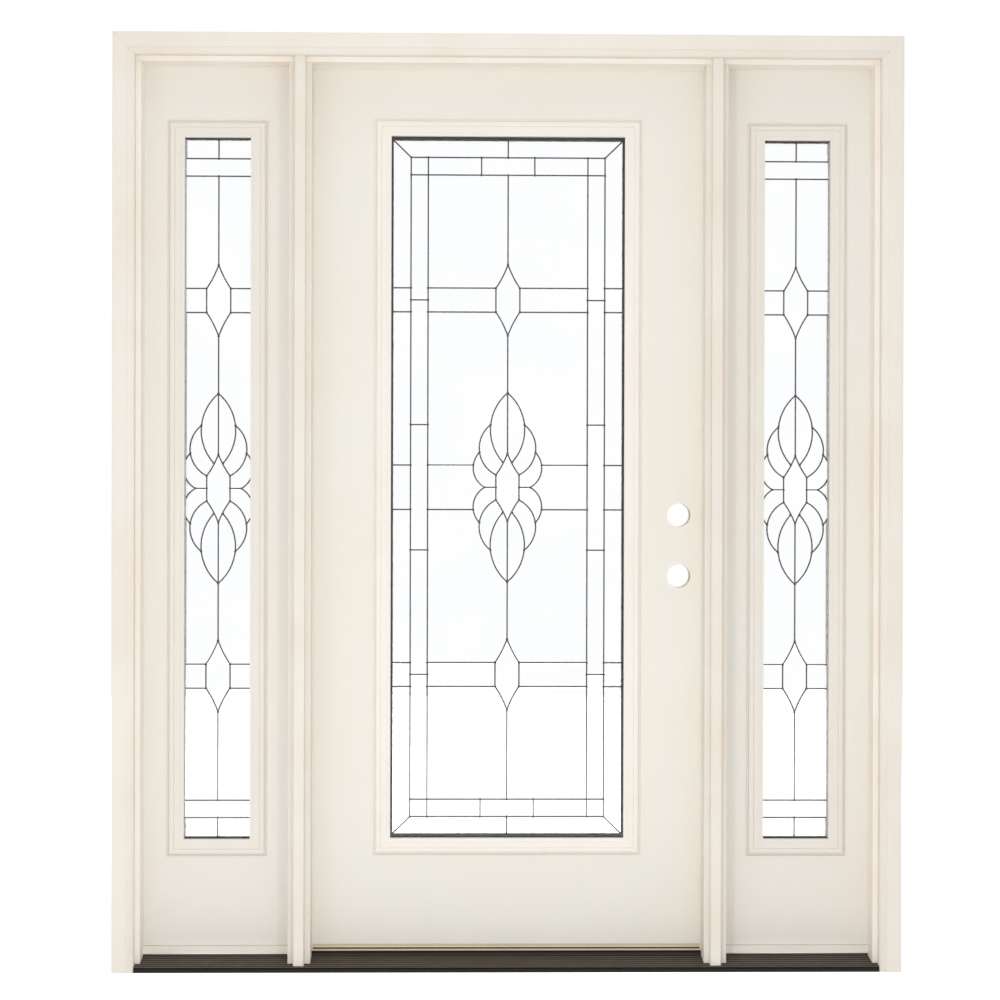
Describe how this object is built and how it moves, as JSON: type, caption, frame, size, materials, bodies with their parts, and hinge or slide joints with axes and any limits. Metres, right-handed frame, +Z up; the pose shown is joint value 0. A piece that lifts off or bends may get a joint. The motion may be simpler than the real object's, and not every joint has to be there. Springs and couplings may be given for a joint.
{
  "type": "entry door with sidelights",
  "caption": "Inswing entry door with a tall leaded-glass lite, a fixed sidelight on either side, brickmould casing and a sloping sill; the hinged leaf is bored for a latch and a deadbolt.",
  "frame": {"origin": "underside of the sill, midway across, in the plane of the outside edges of the frame (the back of the brickmould)", "axes": "+X to the right seen from outside, +Y into the house, +Z up"},
  "size_m": [1.775, 0.1622, 2.1068],
  "materials": {
    "painted_wood": "factory primer, satin",
    "panel_skin": "smooth primed glass-fibre skin",
    "leaf_core": "primed edge",
    "lite_frame_plastic": "moulded, satin",
    "clear_glass": "clear",
    "leaded_glass": "bevelled and textured",
    "lead_came": "dark patina",
    "sill_metal": "dark bronze anodised",
    "sill_composite": "dark composite",
    "threshold_vinyl": "tan vinyl",
    "weatherstrip": "soft foam in a film",
    "hinge_metal": "satin nickel"
  },
  "bodies": {
    "frame": {"brickmould_head": "painted_wood", "brickmould_left": "painted_wood", "brickmould_right": "painted_wood", "door_seal_head": "weatherstrip", "door_seal_hinge_side": "weatherstrip", "door_seal_lock_side": "weatherstrip", "frame_hinge_leaves": "hinge_metal", "head_jamb": "painted_wood", "hinge_pins": "hinge_metal", "jamb_left": "painted_wood", "jamb_right": "painted_wood", "mullion_cover_left": "painted_wood", "mullion_cover_right": "painted_wood", "mullion_left": "painted_wood", "mullion_right": "painted_wood", "sidelight_base_left": "painted_wood", "sidelight_base_right": "painted_wood", "sidelight_cames_left": "lead_came", "sidelight_cames_right": "lead_came", "sidelight_glass_left": "clear_glass", "sidelight_glass_right": "clear_glass", "sidelight_leaded_glass_left": "leaded_glass", "sidelight_leaded_glass_right": "leaded_glass", "sidelight_lite_frame_inside_left": "lite_frame_plastic", "sidelight_lite_frame_inside_right": "lite_frame_plastic", "sidelight_lite_frame_outside_left": "lite_frame_plastic", "sidelight_lite_frame_outside_right": "lite_frame_plastic", "sidelight_panel_left": "panel_skin", "sidelight_panel_right": "panel_skin", "sill_base": "sill_composite", "sill_cap": "threshold_vinyl", "sill_deck": "sill_metal"},
    "door": {"door_bottom_rail": "leaf_core", "door_cames": "lead_came", "door_glass": "clear_glass", "door_hinge_leaves": "hinge_metal", "door_hinge_stile": "leaf_core", "door_leaded_glass": "leaded_glass", "door_lite_frame_inside": "lite_frame_plastic", "door_lite_frame_outside": "lite_frame_plastic", "door_lock_stile": "leaf_core", "door_skin_inside": "panel_skin", "door_skin_outside": "panel_skin", "door_sweep": "threshold_vinyl", "door_top_rail": "leaf_core"}
  },
  "joints": [
    {"name": "door_swing", "type": "hinge", "parent": "frame", "child": "door", "pos_m": [-0.4547, 0.1239, 1.05], "axis": [0, 0, 1], "range_deg": [0, 170]}
  ]
}
